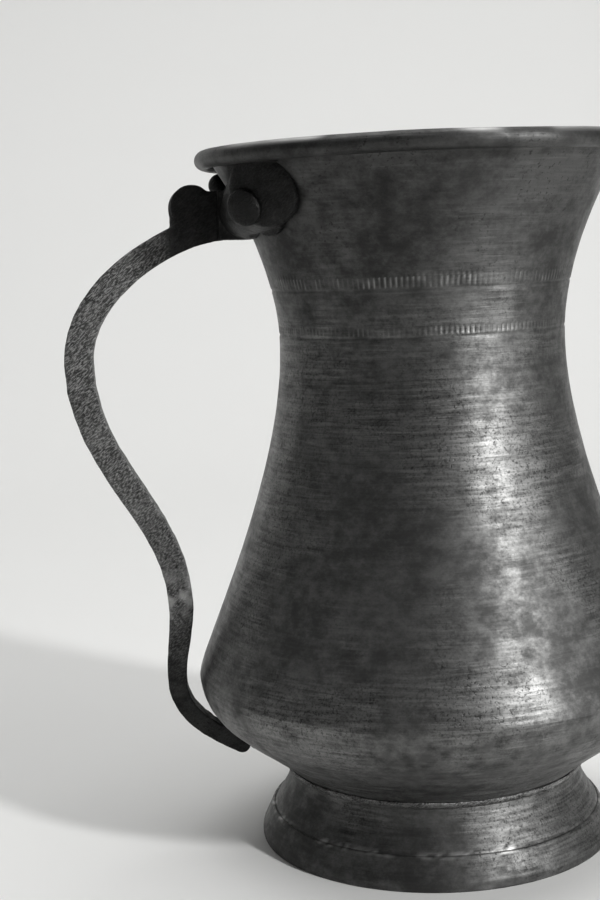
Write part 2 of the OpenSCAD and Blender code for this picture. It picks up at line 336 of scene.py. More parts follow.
def radius(tree, z, outside):
    """Radius of a turned node's outer or inner face at a height."""
    level = Vector((0, 0, z))
    if outside:
        return FAR - reach(tree, level + FAR * READ_WAY, -READ_WAY)
    return reach(tree, level, READ_WAY)


def face(tree, heights, outside):
    """(radius, height) of a turned node's outer or inner face at each height."""
    return np.array([(radius(tree, z, outside), z) for z in heights])


def seam_height():
    """Height of the belly's widest line, where the upper wall meets the bowl."""
    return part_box("upper_wall")[0].z


def saddle_end():
    """The saddle's low corner: its foot, and its end beside the handle."""
    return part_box("saddle_plate")[0]


def handle_top():
    """Height of the handle's top."""
    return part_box("handle")[1].z


# Outlines: lines of (radius, height)


def spaced(line, step):
    """Points along a line, an even step apart."""
    along = np.append(0, np.cumsum(np.hypot(*np.diff(line, axis=0).T)))
    at = np.linspace(0, along[-1], max(2, round(along[-1] / step) + 1))
    return np.stack([np.interp(at, along, line[:, k]) for k in (0, 1)], axis=1)


def right_of(run):
    """Directions to the right of the way a line runs."""
    return np.stack([run[:, 1], -run[:, 0]], axis=1)


def shifted(line, distance):
    """A line moved by this distance to the right of the way it runs."""
    right = right_of(np.gradient(line, axis=0))
    return line + distance * right / np.linalg.norm(right, axis=1)[:, None]


def rounded(outline, step, softness):
    """A closed outline at an even step, with its corners eased over this many steps."""
    ring = spaced(np.concatenate([outline, outline[:1]]), step)[:-1]
    moves = range(-softness, softness + 1)
    return np.sum([np.roll(ring, k, axis=0) * w for k, w in zip(moves, bell(softness))], axis=0)


def arc(centre, r, start, end, n):
    """n points on a circle in the half plane, after the start and up to the end."""
    turn = np.linspace(start, end, n + 1)[1:]
    return np.stack([centre[0] + r * np.cos(turn), centre[1] + r * np.sin(turn)], axis=1)


def outward(outline, closed):
    """Unit normals of an outline, to the right of the way it runs, which is out of the metal."""
    if closed:
        run = np.roll(outline, -1, axis=0) - np.roll(outline, 1, axis=0)
    else:
        run = np.gradient(outline, axis=0)
    right = right_of(run)
    return right / np.maximum(np.linalg.norm(right, axis=1), 1e-9)[:, None]


# Making skins


def ring_of(point, normal, count, shape, wear):
    """One row of a turned skin: its points, moved as shape says, and how worn each is."""
    turn = np.arange(count) * TAU / count
    way = np.stack([np.cos(turn), np.sin(turn), np.zeros(count)], axis=1)
    points = point[0] * way + point[1] * UP
    normals = normal[0] * way + normal[1] * UP
    worn = wear(points, normals) if wear else np.zeros(count)
    return points + shape(points, way, normals), worn


def quads_between(a, b, count):
    """Faces between two rows of the same count, whose first vertices are a and b."""
    j = np.arange(count)
    k = (j + 1) % count
    return np.stack([a + j, a + k, b + k, b + j], axis=1).tolist()


def widening(a, b, count, coarse_first):
    """Faces between a row of count vertices at a and one of FINE times as many at b."""
    faces = []
    for j in range(count):
        k = (j + 1) % count
        fine = [b + (FINE * j + i) % (FINE * count) for i in range(FINE + 1)]
        made = [[a + j, fine[1], fine[0]], [a + j, a + k, fine[2], fine[1]], [a + k, fine[3], fine[2]]]
        faces += made if coarse_first else [f[::-1] for f in made]
    return faces


def bridge(starts, counts, i, j):
    """Faces between rows i and j."""
    if counts[i] == counts[j]:
        return quads_between(starts[i], starts[j], counts[i])
    if counts[i] < counts[j]:
        return widening(starts[i], starts[j], counts[i], True)
    return widening(starts[j], starts[i], counts[j], False)


def fan(pole, first, flip):
    """Faces between a point on the axis and the row whose first vertex is given."""
    faces = [[pole, first + (j + 1) % COLUMNS, first + j] for j in range(COLUMNS)]
    return [f[::-1] for f in faces] if flip else faces


def turned(name, outline, shape, wear=None, closed=True, fine=None):
    """A closed skin: an outline turned about Z.

    An open outline starts and ends on the axis. fine says which rows have more columns.
    """
    normals = outward(outline, closed)
    inner = range(len(outline)) if closed else range(1, len(outline) - 1)
    counts = [COLUMNS * (FINE if fine is not None and fine[i] else 1) for i in inner]
    made = [ring_of(outline[i], normals[i], count, shape, wear) for i, count in zip(inner, counts)]
    rows = [points for points, worn in made]
    worn = np.concatenate([worn for points, worn in made])
    starts = np.append(0, np.cumsum(counts)).tolist()
    last = len(rows) - 1
    faces = [f for i in range(last) for f in bridge(starts, counts, i, i + 1)]
    if closed:
        faces += bridge(starts, counts, last, 0)
    else:
        pole = starts[-1]
        faces += fan(pole, starts[0], False) + fan(pole + 1, starts[last], True)
        rows += [np.array([[0, 0, outline[end][1]]]) for end in (0, -1)]
        worn = np.append(worn, [0, 0])
    return skin(name, np.concatenate(rows), faces, worn)


def mark_wear_and_highlight(mesh, worn):
    """Stores how worn each point is, and on the handle's strap its painted highlight, for the materials to
    read.
    """
    mesh.attributes.new("worn", "FLOAT", "POINT").data.foreach_set("value", worn.astype(np.float32))


def skin(name, points, faces, worn=None):
    """A smooth mesh object, kept inside the CAD model's box, with how worn each point is."""
    points = np.clip(points, cad_low, cad_high)
    mesh = bpy.data.meshes.new(name)
    mesh.from_pydata(points.tolist(), [], faces)
    mesh.shade_smooth()
    if worn is not None:
        mark_wear_and_highlight(mesh, worn)
    made = bpy.data.objects.new(name, mesh)
    bpy.context.scene.collection.objects.link(made)
    return made


def stands_for(made, *nodes):
    """The piece shows instead of these CAD nodes, and rides on the one body."""
    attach(made, "root")
    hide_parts(*nodes)
    return made


# The sheet metal's shape. A shape takes points, the ways out from the axis and the normals, and gives each
# point's move. A wear takes points and normals, and gives how worn each is, from 0 to 1


def dents(points):
    """How far hand raising leaves the sheet off its circle."""
    return uneven(points, *DENTS) - SHEET_IN


def sag(points):
    """How far the rim's edge dips below its highest line."""
    near_rim = ramp(points[:, 2], cad_high.z - SAG_REACH, cad_high.z)
    return -SAG * near_rim * (1 + field(points, SAG_SIZE, 3))


def sheet(points, way):
    """Moves that both faces of the vessel's sheet share."""
    return dents(points)[:, None] * way + sag(points)[:, None] * UP


def scraped(points):
    """Low rings left by the scraper on the lathe."""
    return uneven(points * [RING_FLAT, RING_FLAT, 1], SCRAPER_RINGS) + uneven(points, SCRAPER_CHATTER)


def from_line(points, line):
    """Each point's height above an engraved line, in widths of the line."""
    return (points[:, 2] - line) / LINE_WIDTH


def engraved(points, line):
    """Depth of one engraved line at each point."""
    return LINE_DEPTH * np.exp(-from_line(points, line) ** 2)


def strokes(points, line, run, seed):
    """From 0 to 1, the row of short punched strokes above one engraved line."""
    turn = np.arctan2(points[:, 1], points[:, 0])
    lean = STROKE_LEAN * field(points, 9 * MM, seed) * (points[:, 2] - line) / run
    wave = 0.5 + 0.5 * np.cos(turn * STROKES + lean)
    high = points[:, 2] - line - STROKE_GAP
    wander = STROKE_WANDER * run * field(points, 4 * MM, seed + 1)
    along = ramp(high, 0, STROKE_FADE) * ramp(run + wander - high, 0, STROKE_FADE)
    struck = 0.35 + 0.65 * ramp(field(points, 2.2 * MM, seed + 2), -0.35, 0.35)
    worn = 0.5 + 0.5 * ramp(field(points, 17 * MM, seed + 3), -0.3, 0.25)
    return wave**3 * along * struck * worn


def beside_marks(points, line, run, seed):
    """How bright the edges of one line and its strokes are rubbed."""
    lit = 0.25 + 0.75 * ramp(field(points, 4 * MM, seed + 5), -0.3, 0.4)
    edges = 0.6 * strokes(points + [0, 0, STROKE_EDGE], line, run, seed)
    return lit * (edges + 0.12 * np.exp(-((from_line(points, line) + 1.6) ** 2)))


def wall_wear(lines):
    """Where the upper wall is rubbed bright: on top of its rim, and along the edges of its marks."""

    def wear(points, normals):
        patchy = ramp(field(points, 14 * MM, 31), -0.15, 0.35)
        worn = 0.8 * patchy * ramp(points[:, 2], cad_high.z - RIM_BRIGHT[0], cad_high.z - RIM_BRIGHT[1])
        if normals[0] @ points[0] > 0:
            for line, run, seed in zip(lines, STROKE_RUNS, STROKE_SEEDS):
                worn = worn + beside_marks(points, line, run, seed)
        return np.clip(worn, 0, 1)

    return wear


def wall_shape(lines):
    """Shape of the upper wall, with its engraved bands outside."""
    seam = seam_height()

    def shape(points, way, normals):
        move = scraped(points) * ramp(points[:, 2], seam, seam + SEAM_FADE)
        if normals[0] @ way[0] > 0:
            for line, run, seed in zip(lines, STROKE_RUNS, STROKE_SEEDS):
                move = move - engraved(points, line) - STROKE_DEPTH * strokes(points, line, run, seed)
        return sheet(points, way) + move[:, None] * normals

    return shape


def hammered(points):
    """From 0 to 1, where the hammer's marks show."""
    return ramp(points[:, 2], *HAMMERED_IN) * (1 - ramp(points[:, 2], *HAMMERED_OUT))


def dimples(points):
    """Depth of the overlapping marks of a planishing hammer."""
    band = hammered(points)
    if not band.any():
        return band
    near = np.array([noise.voronoi(p)[0][0] for p in (points / DIMPLE).tolist()])
    return DIMPLE_DEPTH * band * (1 - ramp(near, 0, DIMPLE_SLOPE))


def bowl_shape(points, way, normals):
    """Shape of the hammered bowl."""
    seam = seam_height()
    move = 0.5 * scraped(points) - dimples(points) + uneven(points, BOWL_LUMPS)
    keep = 1 - ramp(points[:, 2], seam - SEAM_FADE, seam)
    return sheet(points, way) + (keep * move)[:, None] * normals


def bowl_wear(points, normals):
    """Where the bowl is a little brighter: on the ridges between its hammer marks."""
    ridges = hammered(points) - 1.3 * dimples(points) / DIMPLE_DEPTH
    return RIDGE_BRIGHT * np.clip(ridges, 0, 1)


def foot_shape(points, way, normals):
    """Shape of the foot's sheet."""
    move = scraped(points) + uneven(points, FOOT_LUMPS)
    keep = ramp(points[:, 2], 0, FLOOR_FADE)
    off_round = uneven(points, FOOT_OUT_OF_ROUND) - FOOT_IN
    return (keep * move)[:, None] * normals + off_round[:, None] * way


def hoop_shape(points, way, normals):
    """Shape of the hoop, whose upper edge isn't quite even."""
    move = 0.5 * scraped(points) + uneven(points, HOOP_LUMPS)
    keep = ramp(points[:, 2], 0, FLOOR_FADE)
    edge = ramp(points[:, 2], *HOOP_TOP) * uneven(points, HOOP_EDGE)
    return (keep * move)[:, None] * normals + edge[:, None] * UP - FOOT_IN * way


def foot_wear(points, normals):
    """Where the foot is rubbed bright: in short runs along the hoop's upper edge."""
    off = (points[:, 2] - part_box("foot_hoop")[1].z) / HOOP_RUBBED
    runs = ramp(field(points, 6 * MM, 32), -0.2, 0.3) * ramp(field(points, 1.1 * MM, 33), -0.3, 0.4)
    return 0.75 * np.exp(-off * off) * runs


def bead_shape(points, way, normals):
    """Shape of the lumpy line of solder."""
    return uneven(points, *SOLDER_LUMPS)[:, None] * normals


# The sheet pieces


def wall_line():
    """(inner face from the belly up to the rim, sheet thickness, rim's middle, roll's radius)."""
    tree = surface("upper_wall")
    wire_low, wire_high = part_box("rim_wire")
    low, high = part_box("upper_wall")
    wire = (wire_high.z - wire_low.z) / 2
    middle = np.array([wire_high.x - wire, wire_low.z + wire])
    roll = high.z - middle[1]
    levels = np.arange(low.z + NECK_FROM, low.z + NECK_TO, 2 * MM)
    thick = np.median(face(tree, levels, True)[:, 0] - face(tree, levels, False)[:, 0])
    heights = np.arange(low.z + IN_EDGE, middle[1] + ROLL_START * roll, READ_STEP)
    line = face(tree, heights, False)
    line[:, 0] = smooth(line[:, 0], EVENED)
    return line, thick, middle, roll


def engraved_heights(line, thick):
    """Heights of the lines cut round the neck: where the outer face dips below the plain wall."""
    tree = surface("upper_wall")
    plain = shifted(line, thick)
    heights = np.arange(plain[0, 1] + NECK_FROM, plain[0, 1] + NECK_TO, FIND_STEP)
    dip = np.interp(heights, plain[:, 1], plain[:, 0]) - face(tree, heights, True)[:, 0]
    cut = heights[dip > LINE_SEEN]
    split = np.flatnonzero(np.diff(cut) > 1 * MM) + 1
    return [run.mean() for run in np.split(cut, split)]


def banded_rows(line, lines):
    """The line's points, closer together along the engraved bands, and which of them are fine."""
    zones = [(z - BAND_MARGIN, z + run + BAND_MARGIN) for z, run in zip(lines, STROKE_RUNS)]

    def in_zone(p):
        return np.any([(p[:, 1] > a) & (p[:, 1] < b) for a, b in zones], axis=0)

    coarse = spaced(line, WALL_STEP)
    dense = spaced(line, BAND_STEP)
    both = np.concatenate([coarse[~in_zone(coarse)], dense[in_zone(dense)]])
    both = both[np.argsort(both[:, 1])]
    return both, in_zone(both)


def eased(outer):
    """The wall's outer face, eased into the CAD belly just above the seam."""
    seam = seam_height()
    levels = np.arange(seam + AT_EDGE, seam + EASE_TO + 1 * MM, READ_STEP)
    true = face(surface("upper_wall"), levels, True)[:, 0]
    share = 1 - ramp(outer[:, 1], seam + EASE_FROM, seam + EASE_TO)
    r = outer[:, 0] + share * (np.interp(outer[:, 1], levels, true) - outer[:, 0])
    return np.stack([r, outer[:, 1]], axis=1)


def hem_rows():
    """Rows of the wall's hem, from its edge on the bowl up to the seam."""
    seam = seam_height()
    belly = radius(surface("upper_wall"), seam + AT_EDGE, True) + HEM_OUT
    r = radius(surface("bowl"), seam - HEM, True) + HEM_OUT
    return np.array([[r, seam - HEM], [r, seam - HEM + CRISP], [belly, seam]])


def rolled_rim(line, thick, middle, roll):
    """The rim's hollow, its tucked edge and its outside, where the line's end is rolled over the wire."""
    way_up = line[-1] - line[-3]
    leave = math.atan2(way_up[0], -way_up[1])
    hollow = arc(middle, roll - thick, leave, TUCK, HOLLOW_ROWS)
    edge = (middle + roll * np.array([math.cos(TUCK), math.sin(TUCK)]))[None]
    over = arc(middle, roll, TUCK, leave, ROLL_ROWS)
    return np.concatenate([hollow, edge, over])


def upper_wall():
    """Sheet from the belly up to the mouth, with its edge rolled out over the wire."""
    line, thick, middle, roll = wall_line()
    lines = engraved_heights(line, thick)
    outer, fine = banded_rows(shifted(line, thick), lines)
    keep = outer[:, 1] > seam_height() + ABOVE_HEM
    inner = spaced(line, INSIDE_STEP)[::-1]
    hem = hem_rows()
    outline = np.concatenate([hem, eased(outer)[keep], rolled_rim(line, thick, middle, roll), inner])
    fine = np.pad(fine[keep], (len(hem), len(outline) - len(hem) - keep.sum()))
    made = turned("upper_wall_skin", outline, wall_shape(lines), wall_wear(lines), fine=fine)
    return stands_for(made, "upper_wall")


def bowl_face(tree, middle, turns, outside):
    """The bowl's outer or inner face, read round a point on the axis."""
    found = []
    for turn in turns:
        way = READ_WAY * math.cos(turn) + Vector((0, 0, math.sin(turn)))
        if outside:
            found.append(FAR - reach(tree, middle + FAR * way, -way))
        else:
            found.append(reach(tree, middle, way))
    r = smooth(np.array(found), BOWL_EVENED)
    return np.stack([r * np.cos(turns), middle.z + r * np.sin(turns)], axis=1)


def bowl():
    """Hammered bowl with its bottom and the lip that is lapped inside the upper wall."""
    tree = surface("bowl")
    seam = seam_height()
    middle = Vector((0, 0, seam))
    outer = bowl_face(tree, middle, BOWL_TURNS, True)
    inner = bowl_face(tree, middle, BOWL_TURNS[BOWL_TURNS < BOWL_INSIDE_END], False)
    heights = np.linspace(seam + LIP_FROM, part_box("bowl")[1].z - LIP_TO, LIP_ROWS)
    lip = np.concatenate([face(tree, heights, True), face(tree, heights, False)[::-1]])
    bottom = np.array([[0, outer[0, 1]]])
    floor = np.array([[0, inner[0, 1]]])
    belly = radius(surface("upper_wall"), seam + AT_EDGE, True)
    outer = spaced(np.concatenate([outer, [[belly, seam]]]), BOWL_STEP)
    outer = np.insert(outer, -1, outer[-1] - [0, CRISP], axis=0)
    outline = np.concatenate([bottom, outer, lip, spaced(inner[::-1], BOWL_INSIDE_STEP), floor])
    fine = np.zeros(len(outline), bool)
    fine[1:len(outer) + 1] = outer[:, 1] > HAMMERED_IN[0]
    return stands_for(turned("bowl_skin", outline, bowl_shape, bowl_wear, closed=False, fine=fine), "bowl")


def banded(node, name, shape, step, wear=None):
    """A turned ring whose outer and inner faces each have one radius at a height."""
    tree = surface(node)
    low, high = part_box(node)
    heights = np.linspace(low.z + IN_EDGE, high.z - IN_EDGE, 90)
    outline = np.concatenate([face(tree, heights, True), face(tree, heights, False)[::-1]])
    return stands_for(turned(name, rounded(outline, step, softness=1), shape, wear), node)


def foot_ring():
    """Flared sheet ring under the bowl."""
    return banded("foot_ring", "foot_ring_skin", foot_shape, 0.5 * MM, foot_wear)


def foot_hoop():
    """Thicker band round the base of the foot."""
    return banded("foot_hoop", "foot_hoop_skin", hoop_shape, 0.3 * MM, foot_wear)


def foot_solder():
    """Line of solder between the bowl and the foot."""
    return banded("foot_solder", "foot_solder_bead", bead_shape, 0.2 * MM)


# The forged pieces


def worn_round(made, voxel, passes):
    """Joins a mesh's solids into one skin of this fineness, and wears its sharp edges round."""
    remesh = made.modifiers.new("even", "REMESH")
    remesh.mode = "VOXEL"
    remesh.voxel_size = voxel
    soften = made.modifiers.new("soften", "SMOOTH")
    soften.factor = 0.5
    soften.iterations = passes
    evaluated = made.evaluated_get(bpy.context.evaluated_depsgraph_get())
    mesh = bpy.data.meshes.new_from_object(evaluated)
    made.modifiers.clear()
    made.data = mesh
    mesh.name = made.name
    mesh.shade_smooth()


def carved(name, node, voxel, passes, extra=(), fit=None):
    """A CAD node's shape, fitted, joined with extra solids, and worn round."""
    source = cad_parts[node]
    points = np.array([v.co[:] for v in source.data.vertices])
    points = (fit(points) if fit else points).tolist()
    faces = [list(f.vertices) for f in source.data.polygons]
    for more_points, more_faces in extra:
        faces += [[i + len(points) for i in f] for f in more_faces]
        points += more_points
    made = skin(name, points, faces)
    worn_round(made, voxel, passes)
    return made


def lens(middle, out, radius, half, flat=True, steps=16, columns=48):
    """A thick disc with rounded edges, or a dome if not flat, as (points, faces), facing out."""
    across = out.cross(Vector((0, 0, 1))).normalized()
    along = out.cross(across)
    points = [middle + out * half, middle - out * half]
    rings = []
    for i in range(1, steps):
        swing = math.pi * i / steps
        high = half * math.copysign(abs(math.cos(swing)) ** (FLAT_FACE if flat else 1), math.cos(swing))
        wide = radius * math.sin(swing) ** (FLAT_EDGE if flat else 1)
        rings.append(len(points))
        for j in range(columns):
            turn = TAU * j / columns
            points.append(middle + out * high + wide * (across * math.cos(turn) + along * math.sin(turn)))
    faces = [[0, rings[0] + j, rings[0] + (j + 1) % columns] for j in range(columns)]
    faces += [[1, rings[-1] + (j + 1) % columns, rings[-1] + j] for j in range(columns)]
    for a, b in zip(rings, rings[1:]):
        faces += [[a + j, b + j, b + (j + 1) % columns, a + (j + 1) % columns] for j in range(columns)]
    return [p[:] for p in points], faces


def moved(made, shape):
    """Moves a mesh's points to where shape puts them, inside the CAD model's box."""
    mesh = made.data
    points = np.empty(len(mesh.vertices) * 3)
    normals = np.empty(len(mesh.vertices) * 3)
    mesh.vertices.foreach_get("co", points)
    mesh.vertices.foreach_get("normal", normals)
    places = shape(points.reshape(-1, 3), normals.reshape(-1, 3))
    mesh.vertices.foreach_set("co", np.clip(places, cad_low, cad_high).ravel())
    mesh.update()


def forged_shape(points, normals):
    """Hammer flats, file marks and rust pits on a forged bar."""
    return points + (uneven(points, *FORGED) - FORGED_IN)[:, None] * normals


def bar_shape(points, normals):
    """Forged shape of the handle: its end sunk into the saddle, its strap narrower towards a ragged tip."""
    end = saddle_end()
    at_end = (points[:, 2] > end.z) * ramp(points[:, 0], end.x - END_REACH[0], end.x - END_REACH[1])
    made = forged_shape(points, normals) + (at_end * END_SUNK)[:, None] * [1, 0, 0]
    made[:, 1] *= 1 - STRAP_TAPER * (1 - ramp(points[:, 2], *TAPER_HEIGHTS))
    on_top = ramp(normals[:, 2], 0.2, 0.6) * (1 - ramp(points[:, 2], *RAGGED_HEIGHTS))
    return made + (on_top * uneven(points, *RAGGED))[:, None] * normals


def lobe_solids():
    """A round thumb piece a little fuller than the CAD one, and its heel."""
    middle = Vector((saddle_end().x - LOBE_OUT, 0, handle_top() - LOBE_R - LOBE_GAP))
    heel = middle + Vector((-HEEL_BACK, 0, -HEEL_DOWN))
    side = Vector((0, 1, 0))
    return [lens(middle, side, LOBE_R, LOBE_HALF), lens(heel, side, HEEL_R, LOBE_HALF)]


def paint_strap_highlight(made):
    """Marks a painted highlight round the strap, at one height."""
    low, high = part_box("handle")
    points = np.array([v.co[:] for v in made.data.vertices])
    off = (points[:, 2] - low.z - HIGHLIGHT_AT * (high.z - low.z)) / HIGHLIGHT_REACH
    mark_wear_and_highlight(made.data, 0.9 * np.exp(-off * off) * ramp(field(points, 3 * MM, 19), -0.35, 0.25))


def handle():
    """Forged bar with its thumb lobe and strap."""
    made = carved("handle_bar", "handle", voxel=0.38 * MM, passes=6, extra=lobe_solids())
    moved(made, bar_shape)
    paint_strap_highlight(made)
    return stands_for(made, "handle")


def ear(side):
    """(middle, way out) of one thick flat ear. side is -1 in front and 1 behind."""
    z = saddle_end().z + EAR_RISE
    r = radius(surface("upper_wall"), z, True)
    out = Vector((-math.cos(EAR_FACE), side * math.sin(EAR_FACE), -math.tan(EAR_DIP))).normalized()
    return Vector((-r * math.cos(EAR_TURN), side * r * math.sin(EAR_TURN), z)) + EAR_OUT * out, out


def hull(*solids):
    """The convex solid round these solids, as (points, faces)."""
    made = bmesh.new()
    for points, faces in solids:
        for point in points:
            made.verts.new(point)
    bmesh.ops.convex_hull(made, input=list(made.verts))
    loose = [v for v in made.verts if not v.link_faces]
    bmesh.ops.delete(made, geom=loose, context="VERTS")
    bmesh.ops.recalc_face_normals(made, faces=list(made.faces))
    made.verts.index_update()
    points = [v.co[:] for v in made.verts]
    faces = [[v.index for v in f.verts] for f in made.faces]
    made.free()
    return points, faces


def cheek(side):
    """One ear with the flat side that joins it to the block at the middle of the saddle."""
    middle, out = ear(side)
    block = Vector((saddle_end().x + BLOCK_IN, side * BLOCK_ASIDE, handle_top() - BLOCK_DOWN))
    facing = Vector((-BLOCK_LEAN, side, 0)).normalized()
    return hull(lens(middle, out, EAR_R, EAR_HALF), lens(block, facing, BLOCK_R, BLOCK_HALF))


def nub():
    """Small knob left on the far side of the saddle, beside the thumb lobe."""
    place = Vector((saddle_end().x + NUB_IN, NUB_ASIDE, handle_top()))
    return lens(place, Vector((0, 1, 0)), NUB_R, NUB_HALF, flat=False)


def drawn_up(points):
    """Brings the plate's ears up under the rim and a little closer to the handle."""
    share = ramp(np.abs(points[:, 1]), *EARS_REACH)
    turn = EARS_BACK * share * np.sign(points[:, 1])
    x = points[:, 0] * np.cos(turn) - points[:, 1] * np.sin(turn)
    y = points[:, 0] * np.sin(turn) + points[:, 1] * np.cos(turn)
    return np.stack([x, y, points[:, 2] + EARS_UP * share], axis=1)


def saddle_shape(points, normals):
    """Forged shape of the saddle, pushed out to just under the wall's outer face, so none shows inside."""
    points = forged_shape(points, normals)
    heights = np.linspace(SADDLE_FROM, cad_high.z - SADDLE_TO, 60)
    wall = face(surface("upper_wall"), heights, True)[:, 0] - SADDLE_GAP
    least = np.interp(points[:, 2], heights, wall)
    push = np.maximum(least / np.hypot(points[:, 0], points[:, 1]), 1)
    return points * np.stack([push, push, np.ones_like(push)], axis=1)


def saddle():
    """Saddle plate with its two thick ears and the small knob."""
    extra = [cheek(-1), cheek(1), nub()]
    made = carved("saddle_forging", "saddle_plate", voxel=0.3 * MM, passes=12, extra=extra, fit=drawn_up)
    moved(made, saddle_shape)
    return stands_for(made, "saddle_plate")


def dome(side):
    """A rivet's hammered dome on one ear's face."""
    middle, out = ear(side)
    across = Vector((-out.y, out.x, 0)).normalized() * side
    place = middle + out * (EAR_HALF - DOME_SUNK) + across * RIVET_ASIDE + Vector((0, 0, RIVET_DROP))
    return lens(place, out, DOME_R, DOME_HIGH, flat=False)


def rivets():
    """Two rivets with their domes."""
    made = carved("rivet_heads", "rivets", voxel=0.2 * MM, passes=6, extra=[dome(-1), dome(1)])
    moved(made, forged_shape)
    return stands_for(made, "rivets")


def tip_solder():
    """Solder under the strap's tip."""
    made = carved("tip_solder_lump", "tip_solder", voxel=0.2 * MM, passes=4)
    moved(made, forged_shape)
    return stands_for(made, "tip_solder")


# Material nodes


def feed(tree, socket, value):
    """Gives a socket a value, or links it to another node's output."""
    if isinstance(value, bpy.types.NodeSocket):
        tree.links.new(value, socket)
    else:
        socket.default_value = value


def add(tree, kind, **values):
    """A node with these inputs and settings."""
    made = tree.nodes.new(kind)
    for key, value in values.items():
        if key in made.inputs:
            feed(tree, made.inputs[key], value)
        else:
            setattr(made, key, value)
    return made


def grain(tree, place, scale, stretch=EVEN, detail=4.0, rough=0.6):
    """Noise from 0 to 1 whose grain is scale per metre, squeezed along each axis by stretch."""
    mapped = add(tree, "ShaderNodeMapping", Vector=place, Scale=[scale * s for s in stretch])
    given = {"Vector": mapped.outputs[0], "Scale": 1.0, "Detail": detail, "Roughness": rough}
    return add(tree, "ShaderNodeTexNoise", **given).outputs["Fac"]


def span(tree, value, low, high, to_low=0.0, to_high=1.0):
    """Maps low..high to to_low..to_high, and stops there."""
    made = add(tree, "ShaderNodeMapRange", interpolation_type="SMOOTHSTEP")
    for socket, given in zip(made.inputs, (value, low, high, to_low, to_high)):
        feed(tree, socket, given)
    return made.outputs[0]


def math_of(tree, operation, a, b):
    """a and b combined by one operation."""
    made = add(tree, "ShaderNodeMath", operation=operation)
    feed(tree, made.inputs[0], a)
    feed(tree, made.inputs[1], b)
    return made.outputs[0]


def times(tree, a, b):
    """a multiplied by b."""
    return math_of(tree, "MULTIPLY", a, b)


def plus(tree, a, b):
    """a and b added."""
    return math_of(tree, "ADD", a, b)


def minus(tree, a, b):
    """a less b."""
    return math_of(tree, "SUBTRACT", a, b)


def blend(tree, amount, a, b):
    """Colour a where amount is 0 and b where it is 1."""
    made = add(tree, "ShaderNodeMix", data_type="RGBA")
    for index, value in ((0, amount), (6, a), (7, b)):
        feed(tree, made.inputs[index], value)
    return made.outputs[2]


def grey(value):
    """A grey that is a very little warm."""
    return (value, value, value * 0.985, 1.0)


def blank(name):
    """(material, its node tree, its shader, places on the piece)."""
    material = bpy.data.materials.new(name)
    material.use_nodes = True
    tree = material.node_tree
    return material, tree, tree.nodes["Principled BSDF"], add(tree, "ShaderNodeTexCoord").outputs["Object"]


# Aged metal


def patina_shadow_mask(tree, place, low_part):
    """From 0 to 1, how dark the metal is made: dark patina most near the mouth and the saddle, with painted
    shadow of the rim on the handle's top, the saddle and the rivets, which weakens out along the handle as a
    painted shadow edge, and darker low down by the low share.
    """
    axes = add(tree, "ShaderNodeSeparateXYZ", Vector=place)
    cloud = grain(tree, place, CLOUDS)
    height = plus(tree, axes.outputs["Z"], times(tree, cloud, 20 * MM))
    # Painted shadow edge: out along the handle the darkening weakens to a fifth
    top = times(tree, span(tree, height, *DARK_TOP), span(tree, axes.outputs["X"], *SHADOW_EDGE, 0.2, 1))
    return plus(tree, top, span(tree, height, *DARK_LOW, low_part, 0))


def tool_marks(tree, place, lathe):
    """Fine marks: short level scratches from the lathe, or a slanting hatch from the file."""
    if lathe:
        return grain(tree, place, LATHE_MARKS, (0.06, 0.06, 1), 2)
    slanted = add(tree, "ShaderNodeMapping", Vector=place, Rotation=(0, FILE_SLANT, 0))
    return grain(tree, slanted.outputs[0], FILE_MARKS, (0.25, 0.25, 1), 2)


def tone_of(tree, place, patches):
    """Light and dark of the patina: broad patches and a finer mottle."""
    mottle = grain(tree, place, MOTTLE, (1, 1, 1.3), 6, 0.75)
    return plus(tree, times(tree, patches, 0.45), times(tree, mottle, 0.55))


def clear_of(tree, patches, patina_and_painted_shadow):
    """From 0 to 1, where marks show: less in the dark patches and under the dark patina and painted shadow.
    """
    return times(tree, span(tree, patches, 0.43, 0.58, 0.15, 1.0), span(tree, patina_and_painted_shadow, 0, 0.6, 1, 0.2))


def scored(tree, marks, clear, patina_and_painted_shadow, lathe, cut):
    """How much bright metal the tool marks lay open."""
    if lathe:
        return times(tree, span(tree, marks, 0.5, 0.66, 0, cut), clear)
    return times(tree, span(tree, marks, 0.44, 0.64, 0, cut), span(tree, patina_and_painted_shadow, 0.1, 0.6, 1, 0.05))


def darkened_in_marks(tree, place, marks, clear):
    """How much darker the metal is in the hollows of its tool marks and in grit specks."""
    grit = grain(tree, place, GRIT, EVEN, 3, 0.7)
    mark_darkening = plus(tree, span(tree, marks, 0.36, 0.47, 0.34, 0), span(tree, grit, 0.36, 0.52, 0.5, 0))
    return times(tree, mark_darkening, clear)


def pits(tree, place, patches):
    """From 0 to 1, dark pits, most of them in the lighter patches."""
    specks = grain(tree, place, SPECKS, EVEN, 3)
    return times(tree, span(tree, specks, 0.58, 0.68), span(tree, patches, 0.46, 0.6, 0.1, 1.0))


def relief(tree, marks, patches, pitted, lathe):
    """Normal of the metal, roughened by its tool marks and pits."""
    ridges = times(tree, marks, span(tree, patches, 0.38, 0.58, 0.35, 1.0))
    height = minus(tree, ridges, times(tree, pitted, 0.12))
    deep = LATHE_RELIEF if lathe else FILE_RELIEF
    return add(tree, "ShaderNodeBump", Strength=1.0, Distance=deep, Height=height).outputs[0]


def drawn_upright(tree, shader):
    """Stretches highlights up and down, as fine rings round the vessel do."""
    shader.inputs["Anisotropic"].default_value = 0.5
    shader.inputs["Anisotropic Rotation"].default_value = 0.25
    tangent = add(tree, "ShaderNodeTangent", direction_type="RADIAL", axis="Z")
    tree.links.new(tangent.outputs[0], shader.inputs["Tangent"])


